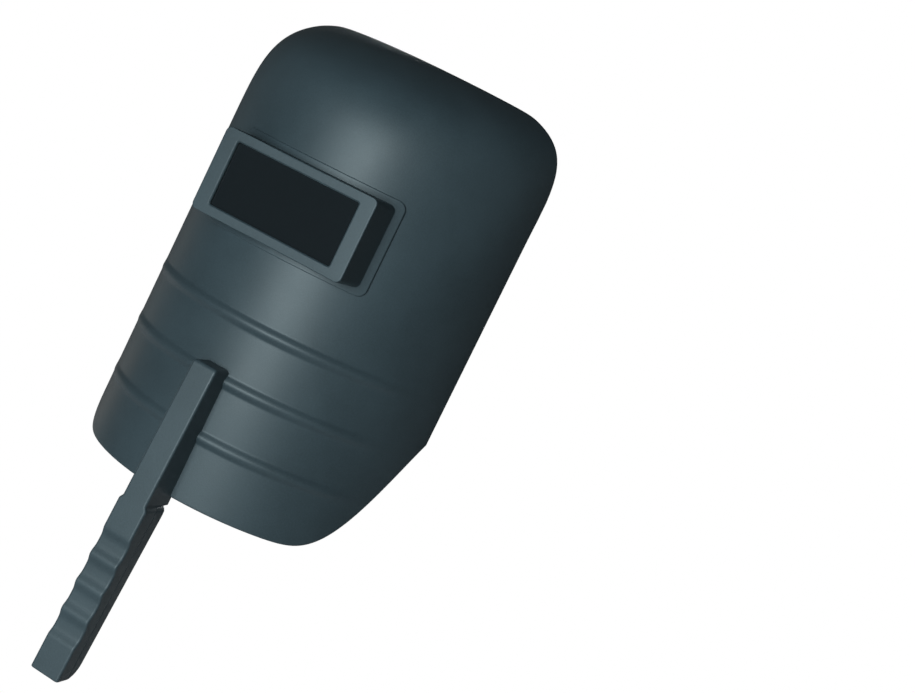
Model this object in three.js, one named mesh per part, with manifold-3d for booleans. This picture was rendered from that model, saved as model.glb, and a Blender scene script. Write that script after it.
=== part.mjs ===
// Hand-held welding shield: a curved face shell with a deep lens box, a quick-release filter
// cassette behind it, an inner bow handle and a long outer grip.
//
// Everything is drawn in the shield frame, in millimetres. Its origin lies on the outer surface
// of the shell, in the middle of the window. +X is to the right as seen from the front, +Y points
// to the wearer and +Z is up. The last group moves the origin to the middle of the hand grip.

import * as THREE from "three";
import { mergeVertices } from "three/addons/utils/BufferGeometryUtils.js";
import Module from "manifold-3d";

const wasm = await Module();
wasm.setup();

// ---- Driving dimensions -----------------------------------------------------------------------

const GAP = 0.3; // between pieces that touch

const SHELL_HALF_WIDTH = 122;
const SHELL_DEPTH = 117;
const SHELL_ANGLE = THREE.MathUtils.degToRad(80); // from the middle of the section to its edge
const SHELL_COLUMNS = 48;
const SHELL_WALL = 2.5;
const SHELL_TOP = 130.2;
const SHELL_BOTTOM = -213.5;
const CROWN_START = 18; // above it the shell curves back over the head
const CROWN_REACH = 82; // how far back the middle of the top edge lies
const CROWN_POWER = 5;
const CROWN_LEVELS = [0.69, 0.76, 0.81, 0.85, 0.88, 0.905, 0.928, 0.95, 0.97, 0.985];
const RIM_DEPTH = 118; // the rim of the crown is trimmed along this plane
const RIM_EASING = 1.5;
const TAPER_START = -117; // below it the sides draw in towards the chin
const TAPER_HALF_WIDTH = 85;
const TAPER_POWER = 3; // over 1, so that the taper bows outwards
const TIP_ROUNDING = 17;

const RIB_FEET = [-89, -131, -172.5];
const RIB_WIDTH = 10;
const RIB_HEIGHT = 2.2;
const RIB_COLUMNS = 38; // of the shell's columns, so that the facets line up
const RIB_ANGLE = (SHELL_ANGLE * RIB_COLUMNS) / SHELL_COLUMNS;

const BOX_HALF = [60.3, 30]; // the lens box outside
const BOX_FRONT = -18;
const BOX_REAR = 26.5;
const BOX_WALL = 2.5;
const BOX_RIM = 2.2; // thickness of the front border round the window
const BOX_LEDGE_REAR = -10.5; // the close-fitting seat of the cover lens ends here
const BOX_FLANGE_HALF = [65.5, 35];
const BOX_FLANGE_THICKNESS = 1.5;
const WINDOW_HALF = [48.5, 22.8];

const PLATE_HALF = [54, 25.5]; // standard 108 x 51 filter plate
const PLATE_PLAY = 0.45;
const COVER_THICKNESS = 1.5;
const FILTER_THICKNESS = 3;
const GASKET_THICKNESS = 0.9;

const COLLAR_HALF = [68.5, 38];
const COLLAR_REAR = 29.8;
const COLLAR_FLOOR = 26.7;

const RETAINER_HALF = [64.2, 34.7];
const RECESS_HALF = [66.4, 35]; // wider than the retainer, for fingertips beside the ears
const RETAINER_FRONT = 27;
const RETAINER_REAR = 29.5;
const SLEEVE_HALF = [57.3, 27.2];
const SLEEVE_FRONT = 15.5;
const EAR_REACH = 71;
const EAR_BOTTOM = -14;
const EAR_TOP = 15.5;
const EAR_FRONT = 30.1;
const EAR_REAR = 31.9;

const LATCH_X = -13; // middle of both latches
const LATCH_HALF_LENGTH = 17;
const LATCH_EDGES = [25.4, 27.6]; // hinge edge and free edge, from the middle of the window
const LATCH_SLOT_HALF = 19.8; // the open slot round each latch
const LATCH_SLOT_EDGES = [25.1, 30.2];
const LATCH_FRONT = 27.5;
const LATCH_REAR = 29.2;
const LATCH_LEG_HALF = 12;
const LATCH_LEG_THICKNESS = 1.2;
const LATCH_LEG_TIP = 19.5;

const MOULD_PIT = { x: -44, z: -31.3, radius: 1.2, depth: 1.5 }; // in the retainer's corner

const BOSS_RADIUS = 6.5;
const BOSS_REAR = 6;
const RIVET_Z = -70;
const FOOT_SCREW_Z = -193; // holds the bow's foot and the grip
const GRIP_SCREW_Z = -146; // hidden under the bow
const SCREW_SHANK = 1.9;
const SCREW_HOLE = 2.3;
const SCREW_LENGTH = 25;

const BOW_HALF_WIDTH = 10;
const BOW_THICKNESS = 4;
const BOW_FEET_FRONT = BOSS_REAR + GAP;
const BOW_FEET_THICKNESS = 3;
const BOW_REAR = 33;
const BOW_TOP = -60;
const BOW_BAR_TOP = -78;
const BOW_BAR_BOTTOM = -180.5;
const BOW_BOTTOM = -200;

const CARD_SIZE = [18, 0.8, 48];
const CARD_CENTRE = [-2.6, -137];
const CARD_TILT = THREE.MathUtils.degToRad(3);

const GRIP_TOP = -118;
const GRIP_BOTTOM = -350;
const GRIP_NECK_HALF = 9.6;
const GRIP_HAND_HALF = 11.5;
const GRIP_HAND_TOP = -222;
const GRIP_WALL = 2.5;
const GRIP_WEB = [-213, -220]; // cross wall under the rim of the shell
const GRIP_COVER_TOP = -220.3;
const GROOVE_TOP = -244;
const GROOVE_PITCH = 20.5;
const GROOVE_COUNT = 4;
const GROOVE_DEPTH = 2.3;
const GROOVE_STEPS = 8;
const COVER_SCREW_ZS = [-238, -334];
const COVER_SCREW_SHANK = 1.3;
const COVER_SCREW_HOLE = 1.65;
const COVER_SCREW_HEAD = 2.7;

const GRIP_CENTRE = [0, -20.8, -290]; // the origin of the part, in the shield frame

// ---- Solids -----------------------------------------------------------------------------------

function solid(geometry) {
  const bare = geometry.index ? geometry.toNonIndexed() : geometry.clone();
  bare.deleteAttribute("normal");
  bare.deleteAttribute("uv");
  const merged = mergeVertices(bare, 1e-4);
  const vertProperties = merged.getAttribute("position").array;
  const triVerts = new Uint32Array(merged.index.array);
  return new wasm.Manifold(new wasm.Mesh({ numProp: 3, vertProperties, triVerts }));
}

function geometryOf(manifold) {
  const mesh = manifold.getMesh();
  const geometry = new THREE.BufferGeometry();
  geometry.setAttribute("position", new THREE.BufferAttribute(mesh.vertProperties, 3));
  geometry.setIndex(new THREE.BufferAttribute(mesh.triVerts, 1));
  const flat = geometry.toNonIndexed();
  flat.computeVertexNormals();
  return flat;
}

function cut(body, ...tools) {
  return tools.reduce((rest, tool) => rest.subtract(tool), body);
}

function join(first, ...others) {
  return others.reduce((whole, other) => whole.add(other), first);
}

function extrusion(shape, from, to, basis, curveSegments) {
  const options = { depth: to - from, bevelEnabled: false, curveSegments };
  const geometry = new THREE.ExtrudeGeometry(shape, options);
  geometry.translate(0, 0, from);
  geometry.applyMatrix4(basis);
  return solid(geometry);
}

// A shape drawn in (x, z), extruded from one y to another.
function alongY(shape, fromY, toY) {
  const basis = new THREE.Matrix4().makeBasis(
    new THREE.Vector3(1, 0, 0),
    new THREE.Vector3(0, 0, 1),
    new THREE.Vector3(0, -1, 0),
  );
  return extrusion(shape, -toY, -fromY, basis, 2);
}

// A shape drawn in (y, z), extruded evenly about x = 0.
function alongX(shape, halfWidth) {
  const basis = new THREE.Matrix4().makeBasis(
    new THREE.Vector3(0, 1, 0),
    new THREE.Vector3(0, 0, 1),
    new THREE.Vector3(1, 0, 0),
  );
  return extrusion(shape, -halfWidth, halfWidth, basis, 5);
}

function roundedRectangle([halfX, halfZ], radius, Type = THREE.Shape) {
  const outline = new Type();
  outline.moveTo(-halfX + radius, -halfZ);
  outline.lineTo(halfX - radius, -halfZ);
  outline.absarc(halfX - radius, -halfZ + radius, radius, -Math.PI / 2, 0);
  outline.lineTo(halfX, halfZ - radius);
  outline.absarc(halfX - radius, halfZ - radius, radius, 0, Math.PI / 2);
  outline.lineTo(-halfX + radius, halfZ);
  outline.absarc(-halfX + radius, halfZ - radius, radius, Math.PI / 2, Math.PI);
  outline.lineTo(-halfX, -halfZ + radius);
  outline.absarc(-halfX + radius, -halfZ + radius, radius, Math.PI, Math.PI * 1.5);
  return outline;
}

function frameAlongY(outer, outerRadius, inner, innerRadius, fromY, toY) {
  const shape = roundedRectangle(outer, outerRadius);
  shape.holes.push(roundedRectangle(inner, innerRadius, THREE.Path));
  return alongY(shape, fromY, toY);
}

function block([minX, maxX], [minY, maxY], [minZ, maxZ]) {
  const geometry = new THREE.BoxGeometry(maxX - minX, maxY - minY, maxZ - minZ);
  geometry.translate((minX + maxX) / 2, (minY + maxY) / 2, (minZ + maxZ) / 2);
  return solid(geometry);
}

function rodAlongY(radius, fromY, toY, x, z, sides = 20) {
  const geometry = new THREE.CylinderGeometry(radius, radius, toY - fromY, sides);
  geometry.translate(x, (fromY + toY) / 2, z);
  return solid(geometry);
}

function grown([halfX, halfZ], by) {
  return [halfX + by, halfZ + by];
}

// ---- The shell's surface ----------------------------------------------------------------------

const ELLIPSE_X = SHELL_HALF_WIDTH / Math.sin(SHELL_ANGLE);
const ELLIPSE_Y = SHELL_DEPTH / (1 - Math.cos(SHELL_ANGLE));

// A point of the shell's surface, moved outwards by lift. The section is an ellipse, and the crown
// carries it back without changing it.
function surfacePoint(angle, z, lift) {
  const share = Math.max(z - CROWN_START, 0) / (SHELL_TOP - CROWN_START);
  const back = CROWN_REACH * share ** CROWN_POWER;
  const slope = (CROWN_REACH * CROWN_POWER * share ** (CROWN_POWER - 1)) / (SHELL_TOP - CROWN_START);
  const x = ELLIPSE_X * Math.sin(angle);
  const y = ELLIPSE_Y * (1 - Math.cos(angle)) + back;
  const normalX = ELLIPSE_Y * Math.sin(angle);
  const normalY = -ELLIPSE_X * Math.cos(angle);
  const normalZ = -normalY * slope;
  const scale = lift / Math.hypot(normalX, normalY, normalZ);
  return [x + normalX * scale, y + normalY * scale, z + normalZ * scale];
}

function angleAt(x) {
  return Math.asin(x / ELLIPSE_X);
}

// The top edge: level in the middle, and at the sides where the crown meets the plane of the rim.
function topEdge(x) {
  const back = RIM_DEPTH - ELLIPSE_Y * (1 - Math.sqrt(1 - (x / ELLIPSE_X) ** 2));
  const height = (SHELL_TOP - CROWN_START) * (back / CROWN_REACH) ** (1 / CROWN_POWER);
  const trim = CROWN_START + height;
  return (SHELL_TOP + trim - Math.hypot(SHELL_TOP - trim, RIM_EASING)) / 2;
}

function bottomEdge(x) {
  const eased = (past) => past + Math.hypot(past, TIP_ROUNDING);
  const share = eased(Math.abs(x) - TAPER_HALF_WIDTH) / eased(SHELL_HALF_WIDTH - TAPER_HALF_WIDTH);
  return SHELL_BOTTOM + (TAPER_START - SHELL_BOTTOM) * share ** TAPER_POWER;
}

// A slab bent along the shell's surface, with rows at shares of its height: outer and inner give
// its two faces as lifts off the surface.
function bentSlab({ angle, low, high, outer, inner, columns, levels = [0, 1] }) {
  const rows = levels.length - 1;
  const geometry = new THREE.BoxGeometry(1, 1, 1, columns, 1, rows);
  const position = geometry.getAttribute("position");
  for (let i = 0; i < position.count; i++) {
    const turn = 2 * angle * position.getX(i);
    const up = levels[Math.round((position.getZ(i) + 0.5) * rows)];
    const x = ELLIPSE_X * Math.sin(turn);
    const lift = position.getY(i) < 0 ? outer(turn, up) : inner(turn, up);
    const z = THREE.MathUtils.lerp(low(x), high(x), up);
    position.setXYZ(i, ...surfacePoint(turn, z, lift));
  }
  return solid(geometry);
}

function evenSlab(halfX, low, high, outer, inner, columns = 28) {
  return bentSlab({
    angle: angleAt(halfX),
    low: () => low,
    high: () => high,
    outer: () => outer,
    inner: () => inner,
    columns,
  });
}

// A raised band across the shell that sinks into it at both ends and along both edges.
function rib(foot, extra = 0) {
  const height = (turn, up) => {
    const fade = THREE.MathUtils.smoothstep(RIB_ANGLE - Math.abs(turn), 0, 0.2);
    const edge = up === 0 || up === 1;
    return edge ? extra - 0.4 : (RIB_HEIGHT + 0.4) * fade - 0.4 + extra;
  };
  return bentSlab({
    angle: RIB_ANGLE,
    low: () => foot - extra,
    high: () => foot + RIB_WIDTH + extra,
    outer: height,
    inner: () => -1.2,
    columns: RIB_COLUMNS,
    levels: [0, 1 / 3, 2 / 3, 1],
  });
}

function shell() {
  const wall = bentSlab({
    angle: SHELL_ANGLE,
    low: bottomEdge,
    high: topEdge,
    outer: () => 0,
    inner: () => -SHELL_WALL,
    columns: SHELL_COLUMNS,
    levels: [0, ...CROWN_LEVELS, 1],
  });
  const opening = alongY(roundedRectangle(grown(BOX_HALF, GAP), 4 + GAP), -10, 40);
  const bosses = [RIVET_Z, FOOT_SCREW_Z].map((z) => rodAlongY(BOSS_RADIUS, 1, BOSS_REAR, 0, z));
  const rivetHole = rodAlongY(SCREW_HOLE, 1, 10, 0, RIVET_Z);
  const screwHoles = [GRIP_SCREW_Z, FOOT_SCREW_Z].map((z) => rodAlongY(SCREW_HOLE, -5, 10, 0, z));
  const ribs = RIB_FEET.map((foot) => rib(foot));
  return cut(join(wall, ...ribs, ...bosses), opening, rivetHole, ...screwHoles);
}

// ---- Window and filter cassette ---------------------------------------------------------------

// A bar beside the window's upper edge (side 1) or lower edge (side -1), centred on the latches.
function latchBar(side, halfLength, fromY, toY, [inner, outer]) {
  const zs = side > 0 ? [inner, outer] : [-outer, -inner];
  return block([LATCH_X - halfLength, LATCH_X + halfLength], [fromY, toY], zs);
}

function latchSlots(fromY, toY) {
  return [1, -1].map((side) => latchBar(side, LATCH_SLOT_HALF, fromY, toY, LATCH_SLOT_EDGES));
}

function lensBox() {
  const cavity = grown(BOX_HALF, -BOX_WALL);
  const seat = grown(PLATE_HALF, PLATE_PLAY);
  const tube = frameAlongY(BOX_HALF, 4, cavity, 2, BOX_FRONT, BOX_REAR);
  const rim = frameAlongY(grown(BOX_HALF, -1), 3, WINDOW_HALF, 1.5, BOX_FRONT, BOX_FRONT + BOX_RIM);
  const ledge = frameAlongY(grown(BOX_HALF, -1), 3, seat, 1, BOX_FRONT, BOX_LEDGE_REAR);
  const outline = alongY(roundedRectangle(BOX_FLANGE_HALF, 6), -20, 60);
  const skirt = evenSlab(
    BOX_FLANGE_HALF[0] + 2,
    -BOX_FLANGE_HALF[1] - 2,
    BOX_FLANGE_HALF[1] + 2,
    GAP + BOX_FLANGE_THICKNESS,
    GAP,
  );
  const flange = skirt.intersect(outline).subtract(alongY(roundedRectangle(cavity, 2), -20, 60));
  const notches = latchSlots(LATCH_LEG_TIP - 1, BOX_REAR + 1);
  return cut(join(tube, rim, ledge, flange), ...notches);
}

function windowCollar() {
  const ring = frameAlongY(COLLAR_HALF, 6, grown(BOX_HALF, GAP), 4 + GAP, 2, COLLAR_REAR);
  const recess = alongY(roundedRectangle(RECESS_HALF, 5), COLLAR_FLOOR, 40);
  const shellSide = evenSlab(COLLAR_HALF[0] + 6, -50, 50, 60, -SHELL_WALL - GAP);
  return cut(ring, recess, shellSide);
}

function plate([halfX, halfZ], front, thickness) {
  return block([-halfX, halfX], [front, front + thickness], [-halfZ, halfZ]);
}

function retainerFrame() {
  const flange = frameAlongY(RETAINER_HALF, 5, WINDOW_HALF, 1.5, RETAINER_FRONT, RETAINER_REAR);
  const pocket = grown(PLATE_HALF, PLATE_PLAY);
  const sleeve = frameAlongY(SLEEVE_HALF, 2, pocket, 1, SLEEVE_FRONT, RETAINER_FRONT + 1);
  const ears = [1, -1].map((side) => {
    const span = (from, to) => (side > 0 ? [from, to] : [-to, -from]);
    const tab = block(span(60, EAR_REACH), [EAR_FRONT, EAR_REAR], [EAR_BOTTOM, EAR_TOP]);
    const root = block(span(60, 64), [RETAINER_REAR - 1, EAR_REAR], [EAR_BOTTOM, EAR_TOP]);
    return tab.add(root);
  });
  const { x, z, radius, depth } = MOULD_PIT;
  const pit = rodAlongY(radius, RETAINER_REAR - depth, RETAINER_REAR + 1, x, z, 12);
  return cut(join(flange, sleeve, ...ears), pit, ...latchSlots(SLEEVE_FRONT - 1, RETAINER_REAR + 1));
}

// A sprung tongue along the window's edge, with a leg that reaches forward beside the plates.
function latch(side) {
  const tongue = latchBar(side, LATCH_HALF_LENGTH, LATCH_FRONT, LATCH_REAR, LATCH_EDGES);
  const legEdges = [LATCH_EDGES[1] - LATCH_LEG_THICKNESS, LATCH_EDGES[1]];
  return tongue.add(latchBar(side, LATCH_LEG_HALF, LATCH_LEG_TIP, LATCH_FRONT + 0.5, legEdges));
}

const LENS_STACK = (() => {
  const coverFront = BOX_FRONT + BOX_RIM + GAP;
  const coverGasketFront = coverFront + COVER_THICKNESS + GAP;
  const spacerFront = coverGasketFront + GASKET_THICKNESS + GAP;
  const innerFront = RETAINER_FRONT - GAP - COVER_THICKNESS;
  const filterFront = innerFront - GAP - FILTER_THICKNESS;
  const gasketFront = filterFront - GAP - GASKET_THICKNESS;
  return {
    coverFront,
    coverGasketFront,
    spacerFront,
    spacerRear: gasketFront - GAP,
    gasketFront,
    filterFront,
    innerFront,
  };
})();

function gasket(front) {
  const inner = grown(WINDOW_HALF, 1.2);
  return frameAlongY(PLATE_HALF, 0.8, inner, 1.5, front, front + GASKET_THICKNESS);
}

function spacerFrame() {
  const { spacerFront, spacerRear } = LENS_STACK;
  return frameAlongY(PLATE_HALF, 0.8, grown(WINDOW_HALF, 1), 1.5, spacerFront, spacerRear);
}

// ---- Inner bow handle -------------------------------------------------------------------------

function innerHandle() {
  const footRear = BOW_FEET_FRONT + BOW_FEET_THICKNESS;
  const barFront = BOW_REAR - BOW_THICKNESS;
  const side = new THREE.Shape();
  side.moveTo(BOW_FEET_FRONT, BOW_TOP);
  side.lineTo(BOW_FEET_FRONT, BOW_BAR_TOP - BOW_THICKNESS);
  side.lineTo(barFront - 3, BOW_BAR_TOP - BOW_THICKNESS - 1);
  side.quadraticCurveTo(barFront, BOW_BAR_TOP - BOW_THICKNESS - 1, barFront, BOW_BAR_TOP - 9);
  side.lineTo(barFront, BOW_BAR_BOTTOM + 8);
  side.quadraticCurveTo(barFront, BOW_BAR_BOTTOM + 4, barFront - 4, BOW_BAR_BOTTOM + 3);
  side.lineTo(BOW_FEET_FRONT, BOW_BAR_BOTTOM - 2);
  side.lineTo(BOW_FEET_FRONT, BOW_BOTTOM);
  side.lineTo(footRear, BOW_BOTTOM);
  side.lineTo(footRear, BOW_BAR_BOTTOM - 6);
  side.lineTo(BOW_REAR - 7, BOW_BAR_BOTTOM - 1);
  side.quadraticCurveTo(BOW_REAR, BOW_BAR_BOTTOM, BOW_REAR, BOW_BAR_BOTTOM + 7);
  side.lineTo(BOW_REAR, BOW_BAR_TOP - 4);
  side.quadraticCurveTo(BOW_REAR, BOW_BAR_TOP, BOW_REAR - 4, BOW_BAR_TOP);
  side.lineTo(footRear, BOW_BAR_TOP);
  side.lineTo(footRear, BOW_TOP);
  const halfLength = (BOW_TOP - BOW_BOTTOM) / 2;
  const front = alongY(roundedRectangle([BOW_HALF_WIDTH, halfLength], 4), 0, 50);
  const outline = front.translate([0, 0, (BOW_TOP + BOW_BOTTOM) / 2]);
  const holes = [RIVET_Z, FOOT_SCREW_Z].map((z) => rodAlongY(SCREW_HOLE, 0, 15, 0, z));
  return cut(alongX(side, BOW_HALF_WIDTH).intersect(outline), ...holes);
}

// ---- Outer grip -------------------------------------------------------------------------------

const gripFront = (z) => -9 + 0.084 * z;
const gripBack = (z) => 1.8 + 0.126 * (z + 210);
const gripSeam = (z) => -12 + 0.105 * (z + 217);

// Finger grooves with flat floors and narrow rounded crests between them.
function scallopedFront(z) {
  const past = (GROOVE_TOP - z) / GROOVE_PITCH;
  const inGrooves = past > 0 && past < GROOVE_COUNT;
  const wave = inGrooves ? 1 - Math.cos(Math.PI * past) ** 4 : 0;
  return gripFront(z) + GROOVE_DEPTH * wave;
}

// The side view of the front piece, from its top down to its bottom end.
function gripBodySide(top, bottom) {
  const side = new THREE.Shape();
  side.moveTo(3, top);
  side.lineTo(gripFront(top), top);
  for (let i = 0; i <= GROOVE_COUNT * GROOVE_STEPS; i++) {
    const z = GROOVE_TOP - (i * GROOVE_PITCH) / GROOVE_STEPS;
    side.lineTo(scallopedFront(z), z);
  }
  side.lineTo(gripFront(bottom), bottom);
  side.lineTo(gripSeam(bottom), bottom);
  side.lineTo(gripSeam(GRIP_WEB[1]), GRIP_WEB[1]);
  side.lineTo(2.2, GRIP_WEB[1]);
  side.lineTo(3, SHELL_BOTTOM - GAP);
  return side;
}

function quad(points) {
  const side = new THREE.Shape();
  points.forEach(([y, z], i) => (i ? side.lineTo(y, z) : side.moveTo(y, z)));
  return side;
}

function gripBody() {
  const whole = alongX(gripBodySide(GRIP_TOP, GRIP_BOTTOM), GRIP_HAND_HALF);
  const shoulders = [1, -1].map((side) => {
    const xs = side > 0 ? [GRIP_NECK_HALF, 20] : [-20, -GRIP_NECK_HALF];
    return block(xs, [-60, 20], [GRIP_HAND_TOP, 0]);
  });
  const [webTop, webBottom] = GRIP_WEB;
  const inside = (z) => gripFront(z) + GRIP_WALL;
  const deep = (z) => inside(z) + GROOVE_DEPTH;
  const neck = quad([
    [10, GRIP_TOP + 5],
    [inside(GRIP_TOP + 5), GRIP_TOP + 5],
    [inside(webTop), webTop],
    [10, webTop],
  ]);
  const hand = quad([
    [10, webBottom],
    [deep(webBottom), webBottom],
    [deep(GRIP_BOTTOM + 3), GRIP_BOTTOM + 3],
    [10, GRIP_BOTTOM + 3],
  ]);
  const hollow = [
    alongX(neck, GRIP_NECK_HALF - GRIP_WALL),
    alongX(hand, GRIP_HAND_HALF - GRIP_WALL),
  ];
  const bosses = [
    ...[GRIP_SCREW_Z, FOOT_SCREW_Z].map((z) => rodAlongY(4.6, gripFront(z) + 1, 0.4, 0, z)),
    ...COVER_SCREW_ZS.map((z) => rodAlongY(3.8, gripFront(z) + 3, gripSeam(z) - 0.5, 0, z)),
  ];
  const holes = [
    ...[GRIP_SCREW_Z, FOOT_SCREW_Z].map((z) => {
      return rodAlongY(SCREW_HOLE, gripFront(z) + GRIP_WALL, 10, 0, z);
    }),
    ...COVER_SCREW_ZS.map((z) => rodAlongY(COVER_SCREW_HOLE, gripFront(z) + 6, 10, 0, z)),
  ];
  const behindShell = evenSlab(40, SHELL_BOTTOM - GAP, 0, GAP, -20);
  const underRibs = RIB_FEET.slice(1).map((foot) => rib(foot, GAP));
  return cut(join(cut(whole, ...shoulders, ...hollow), ...bosses), ...holes, behindShell, ...underRibs);
}

function gripCover() {
  const side = new THREE.Shape();
  const bottomRadius = 11;
  side.moveTo(gripSeam(GRIP_COVER_TOP) + GAP, GRIP_COVER_TOP);
  side.lineTo(gripSeam(GRIP_BOTTOM) + GAP, GRIP_BOTTOM);
  side.lineTo(gripBack(GRIP_BOTTOM) - bottomRadius + 2, GRIP_BOTTOM);
  side.quadraticCurveTo(
    gripBack(GRIP_BOTTOM),
    GRIP_BOTTOM,
    gripBack(GRIP_BOTTOM + bottomRadius),
    GRIP_BOTTOM + bottomRadius,
  );
  side.lineTo(gripBack(GRIP_COVER_TOP), GRIP_COVER_TOP);
  const innerTop = GRIP_COVER_TOP - GRIP_WALL;
  const innerBottom = GRIP_BOTTOM + 6;
  const inner = quad([
    [gripSeam(innerTop) - 5, innerTop],
    [gripSeam(innerBottom) - 5, innerBottom],
    [gripBack(innerBottom) - GRIP_WALL, innerBottom],
    [gripBack(innerTop) - GRIP_WALL, innerTop],
  ]);
  const body = cut(alongX(side, GRIP_HAND_HALF), alongX(inner, GRIP_HAND_HALF - GRIP_WALL));
  const bosses = COVER_SCREW_ZS.map((z) => rodAlongY(3.8, gripSeam(z) + 1, gripBack(z) - 1, 0, z));
  const holes = COVER_SCREW_ZS.flatMap((z) => [
    rodAlongY(COVER_SCREW_HOLE, gripSeam(z) - 5, 10, 0, z),
    rodAlongY(COVER_SCREW_HEAD + GAP, gripBack(z) - 2.6, 10, 0, z),
  ]);
  return cut(join(body, ...bosses), ...holes);
}

// ---- Fasteners --------------------------------------------------------------------------------

// A round-headed pin along -Y: the head's underside is at y = 0 and the head rises to +Y.
function headedPin(headRadius, headHeight, shankRadius, length) {
  const profile = [
    [0, -length],
    [shankRadius, -length + 0.6],
    [shankRadius, 0],
    [headRadius, 0],
    [headRadius * 0.96, headHeight * 0.45],
    [headRadius * 0.7, headHeight * 0.88],
    [headRadius * 0.35, headHeight],
    [0, headHeight],
  ];
  const points = profile.map(([radius, y]) => new THREE.Vector2(radius, y));
  return new THREE.LatheGeometry(points, 20);
}

function washer(thickness) {
  return rodAlongY(4.8, 0, thickness, 0, 0).subtract(rodAlongY(SCREW_HOLE, -1, 2, 0, 0));
}

// ---- Assembly ---------------------------------------------------------------------------------

const FINISHES = {
  darkPlastic: { color: 0x3d4a50, roughness: 0.62, metalness: 0 },
  blackPlastic: { color: 0x23292c, roughness: 0.5, metalness: 0 },
  rubber: { color: 0x1c1c1c, roughness: 0.9, metalness: 0 },
  clear: { color: 0xa9b4b8, roughness: 0.08, metalness: 0 },
  filter: { color: 0x020c08, roughness: 0.05, metalness: 0 },
  brass: { color: 0xc9a85a, roughness: 0.3, metalness: 1 },
  steel: { color: 0x8e9396, roughness: 0.35, metalness: 1 },
  card: { color: 0xbeb450, roughness: 0.7, metalness: 0 },
};

const shield = new THREE.Group();

function place(name, piece, finish, [x, y, z] = [0, 0, 0]) {
  const geometry = piece.isBufferGeometry ? piece : geometryOf(piece);
  const mesh = new THREE.Mesh(geometry, new THREE.MeshStandardMaterial(FINISHES[finish]));
  mesh.name = name;
  mesh.position.set(x, y, z);
  shield.add(mesh);
  return mesh;
}

const stack = LENS_STACK;
place("shell", shell(), "darkPlastic");
place("lens_box", lensBox(), "darkPlastic");
place("window_collar", windowCollar(), "darkPlastic");
place("cover_lens", plate(PLATE_HALF, stack.coverFront, COVER_THICKNESS), "clear");
place("cover_gasket", gasket(stack.coverGasketFront), "rubber");
place("spacer_frame", spacerFrame(), "blackPlastic");
place("filter_gasket", gasket(stack.gasketFront), "rubber");
place("filter_plate", plate(PLATE_HALF, stack.filterFront, FILTER_THICKNESS), "filter");
place("inner_lens", plate(PLATE_HALF, stack.innerFront, COVER_THICKNESS), "clear");
place("retainer_frame", retainerFrame(), "blackPlastic");
place("latch_top", latch(1), "blackPlastic");
place("latch_bottom", latch(-1), "blackPlastic");

place("inner_handle", innerHandle(), "darkPlastic");
const card = place("shade_card", new THREE.BoxGeometry(...CARD_SIZE), "card");
const cardRear = BOW_REAR - BOW_THICKNESS - GAP;
card.position.set(CARD_CENTRE[0], cardRear - CARD_SIZE[1] / 2, CARD_CENTRE[1]);
card.rotation.y = CARD_TILT;

place("grip_body", gripBody(), "darkPlastic");
place("grip_cover", gripCover(), "darkPlastic");

const footRear = BOW_FEET_FRONT + BOW_FEET_THICKNESS + GAP;
const washerFront = SHELL_WALL + GAP;
const gripScrew = headedPin(4, 2.5, SCREW_SHANK, SCREW_LENGTH);
const coverScrew = headedPin(COVER_SCREW_HEAD, 1.8, COVER_SCREW_SHANK, 12);
place("handle_rivet", headedPin(4, 1.9, SCREW_SHANK, 7.8), "brass", [0, footRear, RIVET_Z]);
place("foot_screw", gripScrew, "steel", [0, footRear, FOOT_SCREW_Z]);
const washerThickness = 1;
const gripHead = washerFront + washerThickness + GAP;
place("grip_washer", washer(washerThickness), "steel", [0, washerFront, GRIP_SCREW_Z]);
place("grip_screw", headedPin(4, 2.5, SCREW_SHANK, 18), "steel", [0, gripHead, GRIP_SCREW_Z]);
COVER_SCREW_ZS.forEach((z, i) => {
  const head = gripBack(z) - 2.6 + GAP;
  place(["cover_screw_upper", "cover_screw_lower"][i], coverScrew, "steel", [0, head, z]);
});

const [originX, originY, originZ] = GRIP_CENTRE;
shield.position.set(-originX, -originY, -originZ);
const weldingShield = new THREE.Group();
weldingShield.add(shield);

export default weldingShield;
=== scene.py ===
"""The looks of a hand-held welding shield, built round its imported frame.

Shapes are written in millimetres in the shield frame: the origin is on the shell's outer surface
in the middle of the window, +X to the right as seen from the front, +Y to the wearer, +Z up.
mesh_object() turns them into metres in the frame's own place.
"""

import math

import bpy
import numpy as np
from mathutils import Matrix, Vector


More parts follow.
